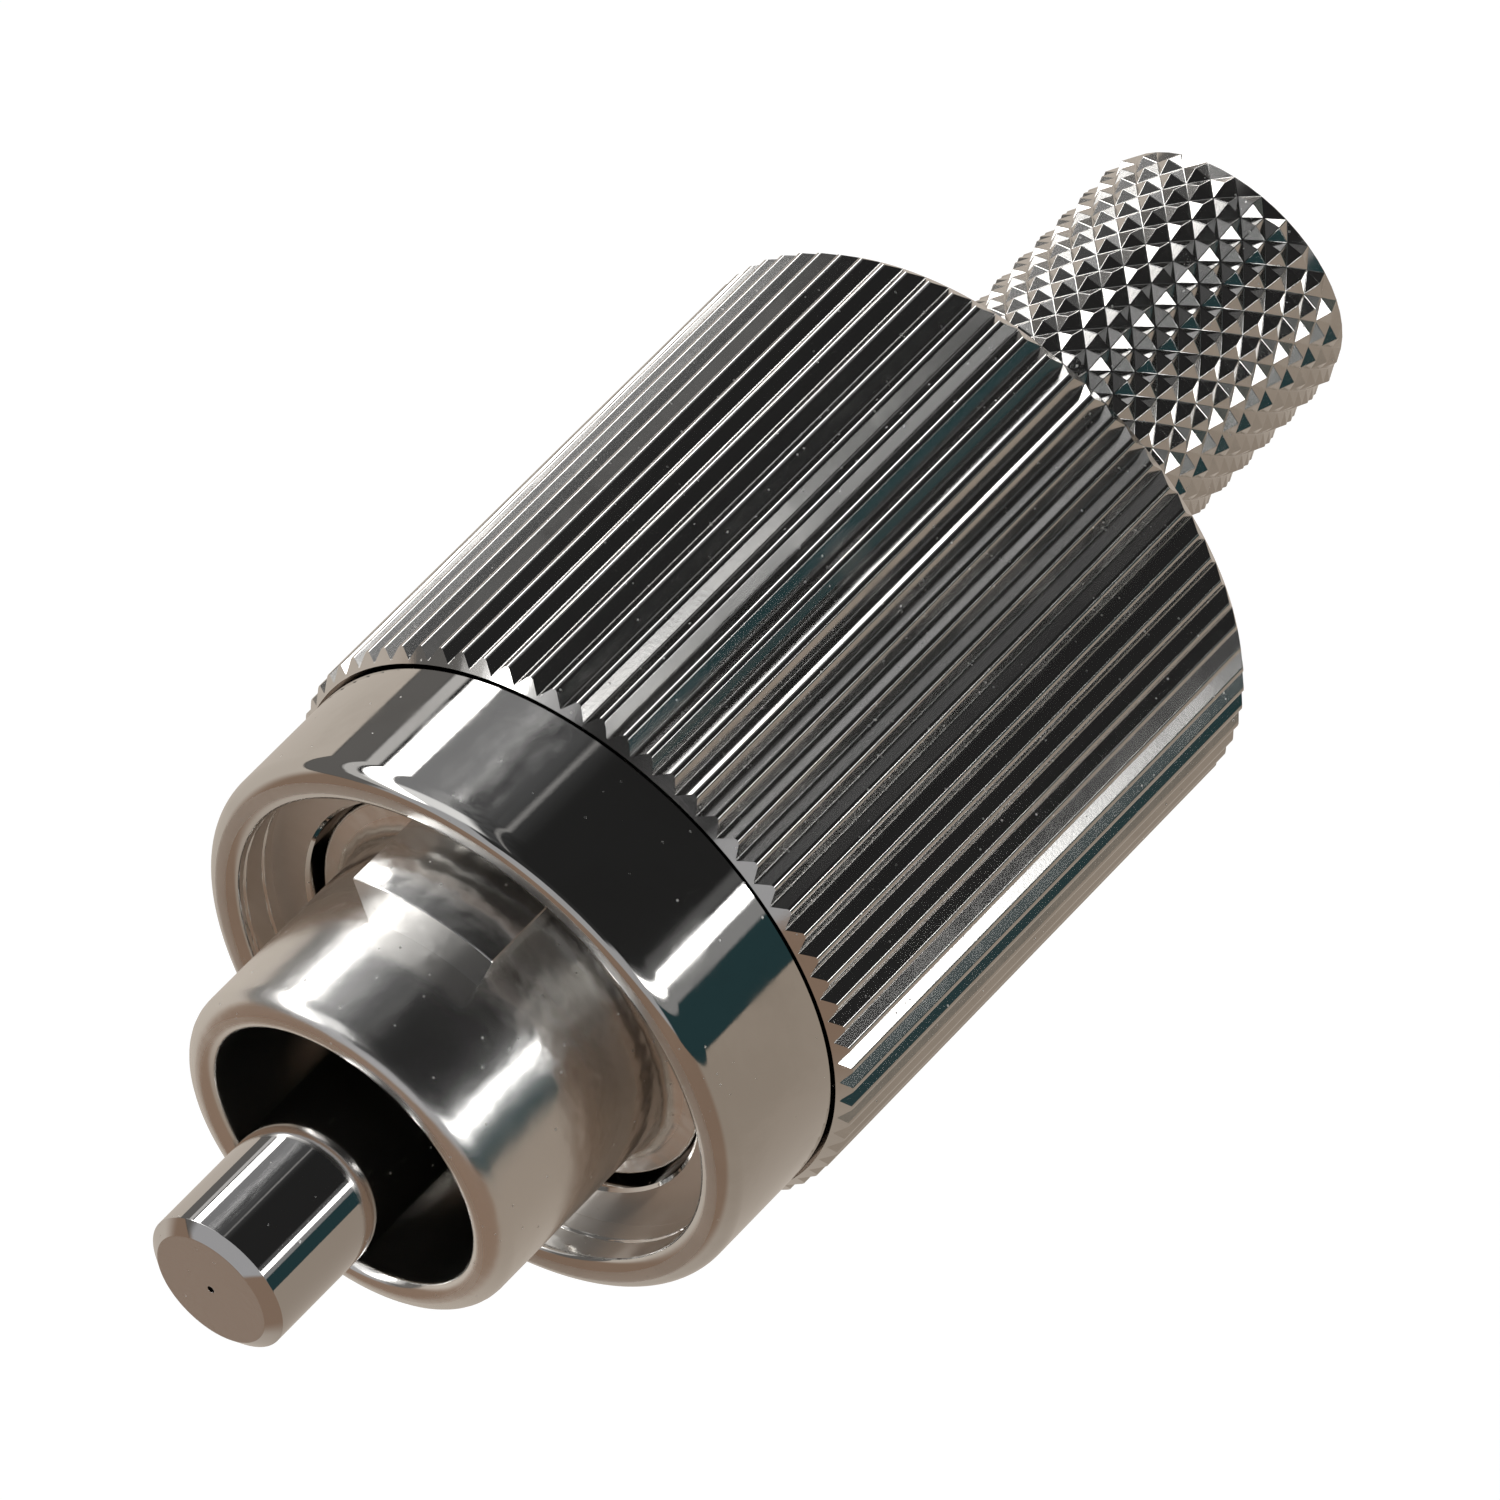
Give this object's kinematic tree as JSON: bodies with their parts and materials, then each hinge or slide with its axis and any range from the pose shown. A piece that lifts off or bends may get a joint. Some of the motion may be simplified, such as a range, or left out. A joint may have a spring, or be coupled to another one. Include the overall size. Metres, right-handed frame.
{
  "type": "fibre optic ferrule connector",
  "caption": "Fibre optic plug with a keyed, spring-loaded ferrule, a free-turning knurled coupling nut and a diamond-knurled crimp barrel for the cable.",
  "frame": {"origin": "on the connector's axis, at the polished end face of the ferrule", "axes": "+Y along the axis from the ferrule to the cable, +Z on the side of the alignment key"},
  "size_m": [0.0106, 0.0255, 0.0106],
  "materials": {
    "ferrule_finish": "polished",
    "holder_finish": "polished nickel plate",
    "guide_tube_plastic": "natural",
    "spring_steel": "bright",
    "frame_plate": "polished nickel plate",
    "ring_plate": "polished nickel plate",
    "grip_plate": "polished nickel plate",
    "barrel_plate": "polished nickel plate"
  },
  "bodies": {
    "nut": {"coupling_ring": "ring_plate", "grip_sleeve": "grip_plate"},
    "slip": {"thrust_washer": "spring_steel"},
    "shell": {"plug_frame": "frame_plate", "rear_body": "barrel_plate", "retaining_clip": "spring_steel", "compression_spring": "spring_steel"},
    "ferrule_set": {"ferrule": "ferrule_finish", "ferrule_holder": "holder_finish", "guide_tube": "guide_tube_plastic"}
  },
  "joints": [
    {"name": "nut_turn", "type": "hinge", "parent": "nut", "child": "slip", "pos_m": [0, 0.00822, 0], "axis": [0, 1, 0], "continuous": true},
    {"name": "nut_slide", "type": "slide", "parent": "slip", "child": "shell", "axis": [0, -1, 0], "range_m": [0, 0.002]},
    {"name": "ferrule_travel", "type": "slide", "parent": "shell", "child": "ferrule_set", "axis": [0, 1, 0], "range_m": [0, 0.0009], "stiffness_N_per_m": 2000, "deforming": ["compression_spring"]}
  ]
}
